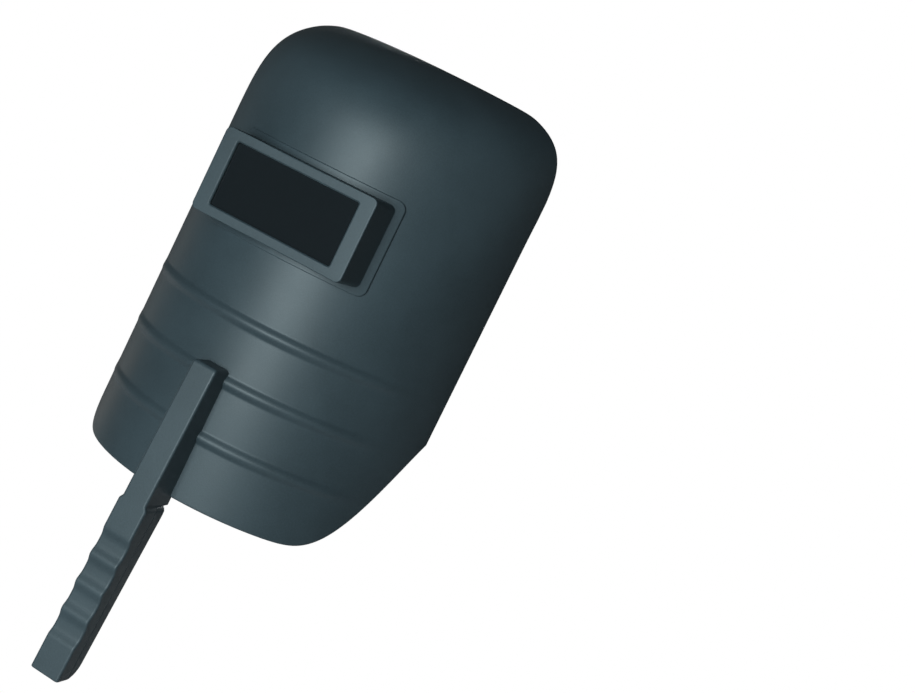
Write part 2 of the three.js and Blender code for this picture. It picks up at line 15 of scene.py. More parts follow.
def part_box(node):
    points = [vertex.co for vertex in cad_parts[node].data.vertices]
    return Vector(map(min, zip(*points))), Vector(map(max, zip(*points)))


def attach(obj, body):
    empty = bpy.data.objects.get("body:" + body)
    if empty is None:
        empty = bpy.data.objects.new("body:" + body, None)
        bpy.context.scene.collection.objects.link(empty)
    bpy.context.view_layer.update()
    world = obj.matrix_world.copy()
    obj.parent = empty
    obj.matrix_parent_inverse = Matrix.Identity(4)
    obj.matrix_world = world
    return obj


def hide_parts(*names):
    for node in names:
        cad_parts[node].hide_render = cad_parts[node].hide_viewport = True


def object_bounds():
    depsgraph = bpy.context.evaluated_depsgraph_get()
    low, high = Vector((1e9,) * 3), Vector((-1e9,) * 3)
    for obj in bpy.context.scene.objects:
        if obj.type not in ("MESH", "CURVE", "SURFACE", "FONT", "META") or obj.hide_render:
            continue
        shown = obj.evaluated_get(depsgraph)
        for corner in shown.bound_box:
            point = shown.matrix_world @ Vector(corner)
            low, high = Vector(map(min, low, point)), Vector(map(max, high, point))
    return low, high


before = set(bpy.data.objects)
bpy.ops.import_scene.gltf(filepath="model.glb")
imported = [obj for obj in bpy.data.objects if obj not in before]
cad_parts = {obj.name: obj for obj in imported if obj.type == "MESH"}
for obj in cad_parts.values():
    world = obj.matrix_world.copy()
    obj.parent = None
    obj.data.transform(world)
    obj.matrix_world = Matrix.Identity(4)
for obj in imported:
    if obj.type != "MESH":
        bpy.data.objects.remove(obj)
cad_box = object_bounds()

# ---- Driving dimensions, in millimetres ---------------------------------------------------------

MM = 0.001
GAP = 0.3  # between pieces that touch

SHELL_HALF_WIDTH = 122
SHELL_DEPTH = 117
SHELL_ANGLE = math.radians(80)
SHELL_WALL = 2.5
SHELL_TOP = 130.2
SHELL_BOTTOM = -213.5
CROWN_START = 18
CROWN_REACH = 82
CROWN_POWER = 5
RIM_DEPTH = 118
RIM_EASING = 1.5
TAPER_START = -117
TAPER_HALF_WIDTH = 85
TAPER_POWER = 3
TIP_ROUNDING = 17
RIM_ROUNDING = 1.0

RIB_FEET = (-89, -131, -172.5)
RIB_WIDTH = 10
RIB_HEIGHT = 2.2
RIB_ANGLE = SHELL_ANGLE * 38 / 48
RIB_FADE = 0.4  # how much of a turn, in radians, a rib takes to run out
RIB_MARGIN = 3  # fine rows past the ribs

# Spacing of the shell's mesh
COLUMN_STEP = math.radians(1.15)
ROW_STEP = 2.6
RIB_ROW_STEP = 0.8
CROWN_SAMPLES = 2000
RIM_STEPS = 4

BOX_HALF = (60.3, 30)
BOX_FRONT = -18
BOX_REAR = 26.5
BOX_WALL = 2.5
BOX_RIM = 2.2
BOX_LEDGE_REAR = -10.5
FLANGE_HALF = (65.5, 35)
FLANGE_THICKNESS = 1.5
WINDOW_HALF = (48.5, 22.8)
PLATE_HALF = (54, 25.5)
PLATE_PLAY = 0.45

COLLAR_HALF = (68.5, 38)
COLLAR_REAR = 29.8
COLLAR_FLOOR = 26.7
RECESS_HALF = (66.4, 35)

RETAINER_HALF = (64.2, 34.7)
RETAINER_FRONT = 27
RETAINER_REAR = 29.5
SLEEVE_HALF = (57.3, 27.2)
SLEEVE_FRONT = 15.5
EAR_REACH = 71
EAR_BOTTOM = -14
EAR_TOP = 15.5
EAR_FRONT = 30.1
EAR_REAR = 31.9
PIT = (-44, -31.3)

LATCH_X = -13
LATCH_HALF_LENGTH = 17
LATCH_EDGES = (25.4, 27.6)
LATCH_SLOT_HALF = 19.8
LATCH_SLOT_EDGES = (25.1, 30.2)
LATCH_FRONT = 27.5
LATCH_REAR = 29.2
LATCH_LEG_HALF = 12
LATCH_LEG_THICKNESS = 1.2
LATCH_LEG_TIP = 19.5

BOSS_RADIUS = 6.5
BOSS_REAR = 6
SCREW_HOLE = 2.3
RIVET_Z = -70
FOOT_SCREW_Z = -193
GRIP_SCREW_Z = -146

BOW_HALF_WIDTH = 10
BOW_THICKNESS = 4
BOW_FEET_FRONT = BOSS_REAR + GAP
BOW_FEET_THICKNESS = 3
BOW_REAR = 33
BOW_TOP = -60
BOW_BAR_TOP = -78
BOW_BAR_BOTTOM = -180.5
BOW_BOTTOM = -200

GRIP_TOP = -118
GRIP_BOTTOM = -350
GRIP_TOP_ROUNDING = 2.6
GRIP_END_EASE = 1.0
GRIP_HEEL_RADIUS = 11
GRIP_NECK_HALF = 9.6
GRIP_HAND_HALF = 11.5
GRIP_HAND_TOP = -222
GRIP_WALL = 2.5
GRIP_WEB = (-213, -220)
GRIP_COVER_TOP = -220.3
GROOVE_TOP = -244
GROOVE_PITCH = 20.5
GROOVE_COUNT = 4
GROOVE_DEPTH = 2.3
COVER_SCREW_ZS = (-238, -334)
COVER_SCREW_HOLE = 1.65
COVER_SCREW_HEAD = 2.7
SCREW_BOSS = 4.6
COVER_SCREW_BOSS = 3.8
WASHER_RADIUS = 4.8
THROUGH = 10  # behind everything a hole has to pass

# ---- Where the shield frame lies ----------------------------------------------------------------

box_low, box_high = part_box("lens_box")
ORIGIN = Vector((
    (box_low.x + box_high.x) / 2,
    box_low.y - BOX_FRONT * MM,
    (box_low.z + box_high.z) / 2,
))

# ---- Making meshes ------------------------------------------------------------------------------


def mesh_object(name, points, faces):
    """A mesh object from points in millimetres in the shield frame."""
    mesh = bpy.data.meshes.new(name)
    world = np.asarray(points, float) * MM + np.array(ORIGIN)
    mesh.from_pydata(world.tolist(), [], faces)
    mesh.update()
    piece = bpy.data.objects.new(name, mesh)
    bpy.context.scene.collection.objects.link(piece)
    face_outwards(piece)
    return piece


def signed_volume(mesh):
    mesh.calc_loop_triangles()
    points = np.array([v.co for v in mesh.vertices])
    points = points - points.mean(0)
    corners = points[np.array([t.vertices[:] for t in mesh.loop_triangles])]
    return float((corners[:, 0] * np.cross(corners[:, 1], corners[:, 2])).sum())


def face_outwards(piece):
    if signed_volume(piece.data) < 0:
        piece.data.flip_normals()


def apply_modifiers(piece):
    bpy.context.view_layer.update()
    evaluated = piece.evaluated_get(bpy.context.evaluated_depsgraph_get())
    result = bpy.data.meshes.new_from_object(evaluated)
    old = piece.data
    piece.modifiers.clear()
    piece.data = result
    bpy.data.meshes.remove(old)
    result.name = piece.name
    return piece


def combine(piece, operation, tools):
    """Cuts tools out of piece, or joins them to it, and removes the tools."""
    for tool in tools:
        step = piece.modifiers.new(operation, "BOOLEAN")
        step.operation = operation
        step.solver = "MANIFOLD"
        step.object = tool
        apply_modifiers(piece)
        bpy.data.objects.remove(tool)
    return piece


def cut(piece, *tools):
    return combine(piece, "DIFFERENCE", tools)


def join(piece, *tools):
    return combine(piece, "UNION", tools)


def soften(piece, width, segments=3, angle=40):
    """Rounds every edge sharper than angle."""
    bevel = piece.modifiers.new("edges", "BEVEL")
    bevel.width = width * MM
    bevel.segments = segments
    bevel.limit_method = "ANGLE"
    bevel.angle_limit = math.radians(angle)
    bevel.use_clamp_overlap = True
    return apply_modifiers(piece)


def shade(piece, angle=35):
    """Smooth shading that keeps flat faces flat, with sharp edges where the angle says."""
    piece.data.shade_smooth()
    piece.data.set_sharp_from_angle(angle=math.radians(angle))
    weighted = piece.modifiers.new("normals", "WEIGHTED_NORMAL")
    weighted.keep_sharp = True
    weighted.weight = 80
    return apply_modifiers(piece)


def place(piece, body, finish, *nodes):
    """Gives the piece its material and says which body moves it and which CAD nodes it shows."""
    piece.data.materials.clear()
    piece.data.materials.append(MATERIALS[finish])
    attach(piece, body)
    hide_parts(*nodes)
    return piece


def bridge(rings, closed):
    """Quads between rings of equal length. Closed joins the last ring to the first."""
    count = len(rings[0])
    faces = []
    for r in range(len(rings) - (0 if closed else 1)):
        a = r * count
        b = ((r + 1) % len(rings)) * count
        for i in range(count):
            j = (i + 1) % count
            faces.append((a + i, a + j, b + j, b + i))
    return faces


def rounded_turns(rings, radii, closed, steps=3):
    """Rounds the profile that runs through the rings, point by point, where a radius is given."""
    result = []
    count = len(rings)
    for i, ring in enumerate(rings):
        at_end = not closed and i in (0, count - 1)
        if radii[i] == 0 or at_end:
            result.append(ring)
            continue
        before = rings[i - 1] - ring
        after = rings[(i + 1) % count] - ring
        near = [
            ring + leg * np.minimum(radii[i] / np.linalg.norm(leg, axis=1), 0.48)[:, None]
            for leg in (before, after)
        ]
        for k in range(steps + 1):
            t = k / steps
            result.append((1 - t) ** 2 * near[0] + 2 * t * (1 - t) * ring + t * t * near[1])
    return result


def frame_piece(name, rings, radii):
    """A closed frame: the profile goes through the rings and back to the first."""
    rings = rounded_turns([np.asarray(r, float) for r in rings], radii, closed=True)
    return mesh_object(name, np.concatenate(rings), bridge(rings, closed=True))


def capped_piece(name, rings, radii):
    """A solid through the rings, closed with a flat face at each end."""
    rings = rounded_turns([np.asarray(r, float) for r in rings], radii, closed=False)
    count = len(rings[0])
    faces = bridge(rings, closed=False)
    faces.append(tuple(range(count)))
    faces.append(tuple(range((len(rings) - 1) * count, len(rings) * count)))
    return mesh_object(name, np.concatenate(rings), faces)


def loft(name, sections):
    """A solid through the sections, with every ring kept as it is."""
    return capped_piece(name, sections, (0,) * len(sections))


def prism(name, outline, low, high, axis):
    """An outline pushed along axis from low to high. The outline gives the other two axes."""
    others = [a for a in (0, 1, 2) if a != axis]
    rings = []
    for level in (low, high):
        ring = np.zeros((len(outline), 3))
        ring[:, others] = outline
        ring[:, axis] = level
        rings.append(ring)
    return loft(name, rings)


def block(name, xs, ys, zs):
    outline = [(xs[0], ys[0]), (xs[1], ys[0]), (xs[1], ys[1]), (xs[0], ys[1])]
    return prism(name, outline, zs[0], zs[1], 2)


def rod(name, radius, low, high, x, z, sides=48):
    turns = np.arange(sides) * 2 * math.pi / sides
    outline = np.stack([x + radius * np.cos(turns), z + radius * np.sin(turns)], 1)
    return prism(name, outline, low, high, 1)


def turned(profile, x, z, sides=48):
    """Rings of a shape turned about a line along Y. The profile gives radius and y."""
    turns = np.arange(sides) * 2 * math.pi / sides
    return [
        np.stack([x + r * np.cos(turns), np.full(sides, y), z + r * np.sin(turns)], 1)
        for r, y in profile
    ]


def curve(start, bend, end, steps=8):
    """Points of a quadratic curve, without its start."""
    start, bend, end = (np.array(p, float) for p in (start, bend, end))
    ts = [(k + 1) / steps for k in range(steps)]
    return [tuple((1 - t) ** 2 * start + 2 * t * (1 - t) * bend + t * t * end) for t in ts]


def grown(half, by):
    return (half[0] + by, half[1] + by)


# ---- The shell's surface ------------------------------------------------------------------------

ELLIPSE_X = SHELL_HALF_WIDTH / math.sin(SHELL_ANGLE)
ELLIPSE_Y = SHELL_DEPTH / (1 - math.cos(SHELL_ANGLE))


def section_frame(turn):
    """Points and outward unit normals of the elliptic section, in x and y."""
    point = np.stack([ELLIPSE_X * np.sin(turn), ELLIPSE_Y * (1 - np.cos(turn))], -1)
    normal = np.stack([np.sin(turn) / ELLIPSE_X, -np.cos(turn) / ELLIPSE_Y], -1)
    return point, normal / np.linalg.norm(normal, axis=-1, keepdims=True)


def on_shell(x, lift):
    """The y of the shell's surface above x, moved outwards by lift."""
    point, normal = section_frame(np.arcsin(np.asarray(x, float) / ELLIPSE_X))
    return point[..., 1] + lift / normal[..., 1]


def crown(z):
    """How far the crown carries the section back at a height, and its slope there."""
    height = SHELL_TOP - CROWN_START
    share = np.maximum(np.asarray(z, float) - CROWN_START, 0) / height
    slope = CROWN_REACH * CROWN_POWER / height * share ** (CROWN_POWER - 1)
    return CROWN_REACH * share**CROWN_POWER, slope


def top_edge(x):
    """Where the crown meets the plane of the rim, no higher than the top."""
    back = RIM_DEPTH - ELLIPSE_Y * (1 - np.sqrt(1 - (np.asarray(x) / ELLIPSE_X) ** 2))
    trim = CROWN_START + (SHELL_TOP - CROWN_START) * (back / CROWN_REACH) ** (1 / CROWN_POWER)
    return (SHELL_TOP + trim - np.hypot(SHELL_TOP - trim, RIM_EASING)) / 2


def eased(past):
    """Grows like twice past beyond zero, and runs out softly before it."""
    return past + np.hypot(past, TIP_ROUNDING)


def bottom_edge(x):
    """The foot of the shell, which rises to the sides beyond the taper's start."""
    share = eased(np.abs(x) - TAPER_HALF_WIDTH) / eased(SHELL_HALF_WIDTH - TAPER_HALF_WIDTH)
    return SHELL_BOTTOM + (TAPER_START - SHELL_BOTTOM) * share**TAPER_POWER


def smoothstep(value, low, high):
    t = np.clip((value - low) / (high - low), 0, 1)
    return t * t * (3 - 2 * t)


def rib_lift(turn, z):
    """How far the ribs stand out of the shell: rounded bands that run out before its edges."""
    lift = np.zeros(np.broadcast(turn, z).shape)
    fade = smoothstep(RIB_ANGLE - np.abs(turn), 0, RIB_FADE)
    for foot in RIB_FEET:
        across = np.clip((z - foot) / RIB_WIDTH, 0, 1)
        lift = np.maximum(lift, RIB_HEIGHT * np.sin(math.pi * across) ** 1.3)
    return lift * fade


def shell_grid(turns, zs, lift):
    """Points of the shell's surface, moved outwards by lift. turns and zs are grids."""
    point, _ = section_frame(turns)
    back, slope = crown(zs)
    surface = np.stack([point[..., 0], point[..., 1] + back, zs], -1)
    normal = np.stack([
        ELLIPSE_Y * np.sin(turns),
        -ELLIPSE_X * np.cos(turns),
        ELLIPSE_X * np.cos(turns) * slope,
    ], -1)
    normal /= np.linalg.norm(normal, axis=-1, keepdims=True)
    return surface + normal * np.broadcast_to(lift, turns.shape)[..., None]


def grid_lines(marks, step):
    """Even lines between marks, no further apart than step."""
    lines = [marks[0]]
    for a, b in zip(marks, marks[1:]):
        count = max(1, math.ceil((b - a) / step))
        lines += [a + (b - a) * k / count for k in range(1, count + 1)]
    return np.array(lines)


def crown_heights(step):
    """Heights up the crown, evenly spaced along its surface."""
    z = np.linspace(BOX_HALF[1] + GAP, SHELL_TOP, CROWN_SAMPLES)
    along = np.concatenate([[0], np.cumsum(np.hypot(np.diff(z), np.diff(crown(z)[0])))])
    return np.interp(np.linspace(0, along[-1], math.ceil(along[-1] / step) + 1), along, z)


def shell_mesh():
    """The curved wall, with a rounded rim and a square opening for the lens box."""
    opening = grown(BOX_HALF, GAP)
    side = math.asin(opening[0] / ELLIPSE_X)
    turns = grid_lines([-SHELL_ANGLE, -side, side, SHELL_ANGLE], COLUMN_STEP)
    ribs_low, ribs_high = RIB_FEET[-1] - RIB_MARGIN, RIB_FEET[0] + RIB_WIDTH + RIB_MARGIN
    heights = np.concatenate([
        grid_lines([SHELL_BOTTOM, ribs_low], ROW_STEP)[:-1],
        grid_lines([ribs_low, ribs_high], RIB_ROW_STEP)[:-1],
        grid_lines([ribs_high, -opening[1], opening[1]], ROW_STEP)[:-1],
        crown_heights(ROW_STEP),
    ])
    share = (heights - SHELL_BOTTOM) / (SHELL_TOP - SHELL_BOTTOM)
    xs = ELLIPSE_X * np.sin(turns)
    low, high = bottom_edge(xs), top_edge(xs)
    turn_grid = np.repeat(turns[:, None], len(share), 1)
    z_grid = low[:, None] + (high - low)[:, None] * share[None, :]
    outer = shell_grid(turn_grid, z_grid, rib_lift(turn_grid, z_grid))
    inner = shell_grid(turn_grid, z_grid, -SHELL_WALL)

    columns, rows = turn_grid.shape
    index = np.arange(columns * rows).reshape(columns, rows)
    rim = np.concatenate([index[:, 0], index[-1, 1:], index[-2::-1, -1], index[0, -2:0:-1]])
    edge = outer.reshape(-1, 3)[rim]
    across = inner.reshape(-1, 3)[rim] - edge
    across /= np.linalg.norm(across, axis=1, keepdims=True)
    along = np.roll(edge, -1, 0) - np.roll(edge, 1, 0)
    along /= np.linalg.norm(along, axis=1, keepdims=True)
    out = np.cross(across, along)
    profile = []
    for k in range(RIM_STEPS + 1):
        turn = math.pi / 2 * k / RIM_STEPS
        profile.append((RIM_ROUNDING * (1 - math.cos(turn)), RIM_ROUNDING * (math.sin(turn) - 1)))
    profile += [(SHELL_WALL - d, e) for d, e in reversed(profile)]
    rim_rings = [edge + across * d + out * e for d, e in profile]
    outer.reshape(-1, 3)[rim] = rim_rings[0]
    inner.reshape(-1, 3)[rim] = rim_rings[-1]

    hole_columns = np.nonzero(np.abs(xs) <= opening[0] + 1e-6)[0]
    hole_rows = np.nonzero(np.abs(heights) <= opening[1] + 1e-6)[0]
    c0, c1 = hole_columns[0], hole_columns[-1]
    r0, r1 = hole_rows[0], hole_rows[-1]
    faces = []
    half = columns * rows
    for c in range(columns - 1):
        for r in range(rows - 1):
            if c0 <= c < c1 and r0 <= r < r1:
                continue
            quad = (index[c, r], index[c + 1, r], index[c + 1, r + 1], index[c, r + 1])
            faces.append(quad)
            faces.append(tuple(half + i for i in reversed(quad)))
    hole = np.concatenate([
        index[c0:c1, r0], index[c1, r0:r1], index[c1:c0:-1, r1], index[c0, r1:r0:-1]
    ])
    for a, b in zip(hole, np.roll(hole, -1)):
        faces.append((b, a, half + a, half + b))
    points = [outer.reshape(-1, 3), inner.reshape(-1, 3)] + rim_rings[1:-1]
    count = len(rim)
    strips = [rim] + [2 * half + k * count + np.arange(count) for k in range(len(profile) - 2)]
    strips.append(half + rim)
    for upper, lower in zip(strips, strips[1:]):
        for i in range(count):
            j = (i + 1) % count
            faces.append((upper[j], upper[i], lower[i], lower[j]))
    points = np.concatenate(points)
    used = np.unique(np.concatenate([np.asarray(f) for f in faces]))
    renumber = np.full(len(points), -1)
    renumber[used] = np.arange(len(used))
    faces = [tuple(int(renumber[i]) for i in f) for f in faces]
    return mesh_object("face_shell", points[used], faces)


def shell():
    piece = shell_mesh()
    for z in (RIVET_Z, FOOT_SCREW_Z):
        join(piece, boss(z))
    cut(piece, rod("tool", SCREW_HOLE, 1, THROUGH, 0, RIVET_Z))
    for z in (GRIP_SCREW_Z, FOOT_SCREW_Z):
        cut(piece, rod("tool", SCREW_HOLE, -6, THROUGH, 0, z))
    return shade(piece)


def boss(z):
    """A short post on the inside of the shell, with its end chamfered."""
    profile = [(BOSS_RADIUS, 1.2), (BOSS_RADIUS, BOSS_REAR - 0.5), (BOSS_RADIUS - 0.5, BOSS_REAR)]
    return loft("boss", turned(profile, 0, z))


# ---- Frames round the window --------------------------------------------------------------------


def ring(half, radius, y, corner_steps=8, long_steps=28, short_steps=10):
    """A rounded rectangle round the window's middle. y is a number, or gives y from x."""
    half_x, half_z = half
    centres = [(1, 1), (-1, 1), (-1, -1), (1, -1)]
    corners = []
    for quarter, (side_x, side_z) in enumerate(centres):
        turns = (quarter + np.linspace(0, 1, corner_steps + 1)) * math.pi / 2
        x = side_x * (half_x - radius) + radius * np.cos(turns)
        z = side_z * (half_z - radius) + radius * np.sin(turns)
        corners.append(np.stack([x, z], 1))
    outline = []
    for quarter, corner in enumerate(corners):
        following = corners[(quarter + 1) % 4][0]
        steps = short_steps if quarter % 2 else long_steps
        shares = np.linspace(0, 1, steps + 1)[1:-1, None]
        outline += [corner, corner[-1] * (1 - shares) + following * shares]
    outline = np.concatenate(outline)
    ys = y(outline[:, 0]) if callable(y) else np.full(len(outline), float(y))
    return np.stack([outline[:, 0], ys, outline[:, 1]], 1)


def latch_bar(name, side, half_length, ys, edges):
    zs = edges if side > 0 else (-edges[1], -edges[0])
    return block(name, (LATCH_X - half_length, LATCH_X + half_length), ys, zs)


def latch_slots(front, rear):
    return [latch_bar("tool", s, LATCH_SLOT_HALF, (front, rear), LATCH_SLOT_EDGES) for s in (1, -1)]


def lens_box():
    cavity = grown(BOX_HALF, -BOX_WALL)
    seat = grown(PLATE_HALF, PLATE_PLAY)
    flange_top = lambda x: on_shell(x, GAP + FLANGE_THICKNESS)
    flange_foot = lambda x: on_shell(x, GAP)
    rings = [
        ring(BOX_HALF, 4, BOX_FRONT),
        ring(BOX_HALF, 4, flange_top),
        ring(FLANGE_HALF, 6, flange_top),
        ring(FLANGE_HALF, 6, flange_foot),
        ring(BOX_HALF, 4, flange_foot),
        ring(BOX_HALF, 4, BOX_REAR),
        ring(cavity, 2, BOX_REAR),
        ring(cavity, 2, BOX_LEDGE_REAR),
        ring(seat, 1, BOX_LEDGE_REAR),
        ring(seat, 1, BOX_FRONT + BOX_RIM),
        ring(WINDOW_HALF, 1.5, BOX_FRONT + BOX_RIM),
        ring(WINDOW_HALF, 1.5, BOX_FRONT + 0.9),
        ring(grown(WINDOW_HALF, 0.9), 1.8, BOX_FRONT),
    ]
    radii = (1.1, 0.6, 0.7, 0.3, 0, 0.3, 0.3, 0, 0.2, 0, 0.3, 0.3, 0.3)
    piece = frame_piece("window_box", rings, radii)
    cut(piece, *latch_slots(LATCH_LEG_TIP - 1, BOX_REAR + 1))
    return shade(piece)


def window_collar():
    bore = grown(BOX_HALF, GAP)
    foot = lambda x: on_shell(x, -SHELL_WALL - GAP)
    rings = [
        ring(COLLAR_HALF, 6, foot),
        ring(COLLAR_HALF, 6, COLLAR_REAR),
        ring(RECESS_HALF, 5, COLLAR_REAR),
        ring(RECESS_HALF, 5, COLLAR_FLOOR),
        ring(bore, 4.3, COLLAR_FLOOR),
        ring(bore, 4.3, foot),
    ]
    return shade(frame_piece("inner_collar", rings, (0, 0.7, 0.4, 0.3, 0.3, 0)))


def retainer_frame():
    pocket = grown(PLATE_HALF, PLATE_PLAY)
    bead = 0.5
    window_lip = grown(WINDOW_HALF, 1.6)
    inner_floor = grown(WINDOW_HALF, 2.2)
    outer_floor = grown(RETAINER_HALF, -2.6)
    outer_lip = grown(RETAINER_HALF, -2.0)
    rings = [
        ring(WINDOW_HALF, 1.5, RETAINER_FRONT),
        ring(WINDOW_HALF, 1.5, RETAINER_REAR),
        ring(window_lip, 2, RETAINER_REAR),
        ring(inner_floor, 2.2, RETAINER_REAR - bead),
        ring(outer_floor, 3, RETAINER_REAR - bead),
        ring(outer_lip, 3.6, RETAINER_REAR),
        ring(RETAINER_HALF, 5, RETAINER_REAR),
        ring(RETAINER_HALF, 5, RETAINER_FRONT),
        ring(SLEEVE_HALF, 2, RETAINER_FRONT),
        ring(SLEEVE_HALF, 2, SLEEVE_FRONT),
        ring(pocket, 1, SLEEVE_FRONT),
        ring(pocket, 1, RETAINER_FRONT),
    ]
    radii = (0, 0.5, 0.3, 0.2, 0.2, 0.3, 0.6, 0.2, 0, 0.3, 0.2, 0)
    piece = frame_piece("cassette_frame", rings, radii)
    cut(piece, *latch_slots(SLEEVE_FRONT - 1, RETAINER_REAR + 1))
    cut(piece, rod("tool", 1.2, RETAINER_REAR - 1.5, RETAINER_REAR + 1, *PIT, sides=24))
    for side in (1, -1):
        join(piece, ear(side))
    return shade(piece)


def ear(side):
    """A finger tab over the collar, with three fine grip lines across it."""
    spans = sorted((side * 60, side * EAR_REACH))
    roots = sorted((side * 60, side * 64))
    tab = block("ear", spans, (EAR_FRONT, EAR_REAR), (EAR_BOTTOM, EAR_TOP))
    root_zs = (EAR_BOTTOM + 0.4, EAR_TOP - 0.4)
    join(tab, block("tool", roots, (RETAINER_REAR - 1, EAR_REAR - 0.2), root_zs))
    for k in range(3):
        z = (EAR_BOTTOM + EAR_TOP) / 2 + (k - 1) * 5
        line = sorted((side * 65.5, side * (EAR_REACH - 1.2)))
        cut(tab, block("tool", line, (EAR_REAR - 0.4, EAR_REAR + 1), (z - 0.5, z + 0.5)))
    return soften(tab, 0.35, segments=2)


def latch(name, side):
    piece = latch_bar(name, side, LATCH_HALF_LENGTH, (LATCH_FRONT, LATCH_REAR), LATCH_EDGES)
    leg = (LATCH_EDGES[1] - LATCH_LEG_THICKNESS, LATCH_EDGES[1])
    join(piece, latch_bar("tool", side, LATCH_LEG_HALF, (LATCH_LEG_TIP, LATCH_FRONT + 0.5), leg))
    return shade(soften(piece, 0.3, segments=3))


def node_span(node):
    """The front and rear faces of a plate or frame of the stack, in the shield frame."""
    low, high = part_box(node)
    return (low.y - ORIGIN.y) / MM, (high.y - ORIGIN.y) / MM


def node_centre(node):
    """The middle of a CAD node, in the shield frame."""
    low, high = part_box(node)
    return ((low + high) / 2 - ORIGIN) / MM


def plate(name, node):
    front, rear = node_span(node)
    ease = 0.3
    rings = [
        ring(grown(PLATE_HALF, -ease), 0.5, front),
        ring(PLATE_HALF, 0.8, front + ease),
        ring(PLATE_HALF, 0.8, rear - ease),
        ring(grown(PLATE_HALF, -ease), 0.5, rear),
    ]
    return shade(loft(name, rings), 20)


def stack_frame(name, node, inner, ease):
    front, rear = node_span(node)
    rings = [
        ring(PLATE_HALF, 0.8, front),
        ring(PLATE_HALF, 0.8, rear),
        ring(inner, 1.5, rear),
        ring(inner, 1.5, front),
    ]
    return shade(frame_piece(name, rings, (ease,) * 4))


def gasket(name, node):
    return stack_frame(name, node, grown(WINDOW_HALF, 1.2), 0.2)


def spacer_sleeve():
    return stack_frame("spacer_sleeve", "spacer_frame", grown(WINDOW_HALF, 1), 0.3)


# ---- Inner bow handle and its card --------------------------------------------------------------


def inner_handle():
    foot_rear = BOW_FEET_FRONT + BOW_FEET_THICKNESS
    bar_front = BOW_REAR - BOW_THICKNESS
    shoulder = BOW_BAR_TOP - BOW_THICKNESS - 1
    side = [(BOW_FEET_FRONT, BOW_TOP), (BOW_FEET_FRONT, BOW_BAR_TOP - BOW_THICKNESS)]
    side += [(bar_front - 3, shoulder)]
    side += curve(side[-1], (bar_front, shoulder), (bar_front, BOW_BAR_TOP - 9))
    side += [(bar_front, BOW_BAR_BOTTOM + 8)]
    heel = BOW_BAR_BOTTOM
    side += curve(side[-1], (bar_front, heel + 4), (bar_front - 4, heel + 3))
    side += [(BOW_FEET_FRONT, heel - 2), (BOW_FEET_FRONT, BOW_BOTTOM), (foot_rear, BOW_BOTTOM)]
    side += [(foot_rear, heel - 6), (BOW_REAR - 7, heel - 1)]
    side += curve(side[-1], (BOW_REAR, heel), (BOW_REAR, heel + 7))
    side += [(BOW_REAR, BOW_BAR_TOP - 4)]
    side += curve(side[-1], (BOW_REAR, BOW_BAR_TOP), (BOW_REAR - 4, BOW_BAR_TOP))
    side += [(foot_rear, BOW_BAR_TOP), (foot_rear, BOW_TOP)]
    piece = prism("bow_handle", side, -BOW_HALF_WIDTH, BOW_HALF_WIDTH, 0)
    middle = (BOW_TOP + BOW_BOTTOM) / 2
    front_view = ring((BOW_HALF_WIDTH, (BOW_TOP - BOW_BOTTOM) / 2), 4, 0)[:, [0, 2]]
    outline = prism("outline", front_view + np.array([0, middle]), 0, 50, 1)
    combine(piece, "INTERSECT", [outline])
    for z in (RIVET_Z, FOOT_SCREW_Z):
        cut(piece, rod("tool", SCREW_HOLE, 0, 15, 0, z))
    return shade(soften(piece, 0.9, segments=3, angle=42))


def shade_card():
    """A thin card on the underside of the bow, a little curled at its free lower corner."""
    centre = node_centre("shade_card")
    half_x, half_y, half_z = 9, 0.3, 24
    tilt = math.radians(3)
    rings = []
    for share in np.linspace(-1, 1, 13):
        corners = [(-half_x, -half_y), (half_x, -half_y), (half_x, half_y), (-half_x, half_y)]
        curl = 0.0 if share > 0 else 0.12 * share * share
        section = []
        for x, y in corners:
            z = share * half_z
            turned_x = x * math.cos(tilt) + z * math.sin(tilt)
            turned_z = z * math.cos(tilt) - x * math.sin(tilt)
            section.append((centre.x + turned_x, centre.y + y - curl, centre.z + turned_z))
        rings.append(np.array(section))
    return shade(loft("card_strip", rings), 20)


# ---- Outer grip ---------------------------------------------------------------------------------


def grip_front(z):
    return -9 + 0.084 * z


def grip_back(z):
    return 1.8 + 0.126 * (z + 210)


def grip_seam(z):
    return -12 + 0.105 * (z + 217)


def scalloped_front(z):
    past = (GROOVE_TOP - z) / GROOVE_PITCH
    inside = 0 < past < GROOVE_COUNT
    return grip_front(z) + (GROOVE_DEPTH * (1 - math.cos(math.pi * past) ** 4) if inside else 0)


def grip_section(half_x, front, back, front_radius, back_radius, z, steps=6):
    """A cross-section of the grip: rounded corners in front and behind."""
    corners = [
        (half_x, front, front_radius, -90, 1, 1),
        (half_x, back, back_radius, 0, 1, -1),
        (-half_x, back, back_radius, 90, -1, -1),
        (-half_x, front, front_radius, 180, -1, 1),
    ]
    points = []
    for x, y, radius, start, side_x, side_y in corners:
        centre_x, centre_y = x - side_x * radius, y + side_y * radius
        for k in range(steps + 1):
            turn = math.radians(start + 90 * k / steps)
            across, along = radius * math.cos(turn), radius * math.sin(turn)
            points.append((centre_x + across, centre_y + along, z))
    return np.array(points)


def end_ease(z, top, bottom, radius):
    """How far the section draws in close to the ends, so that their edges are round."""
    near = min(top - z, z - bottom)
    if near >= radius:
        return 0
    return radius - math.sqrt(max(radius**2 - (radius - near) ** 2, 0))


def grip_heights(top, bottom, step, radius):
    ends = [radius * (1 - math.cos(math.pi / 2 * k / 4)) for k in range(5)]
    heights = [top - e for e in ends] + list(grid_lines([bottom + radius, top - radius], step))
    heights += [bottom + e for e in ends]
    return sorted(set(round(z, 4) for z in heights), reverse=True)


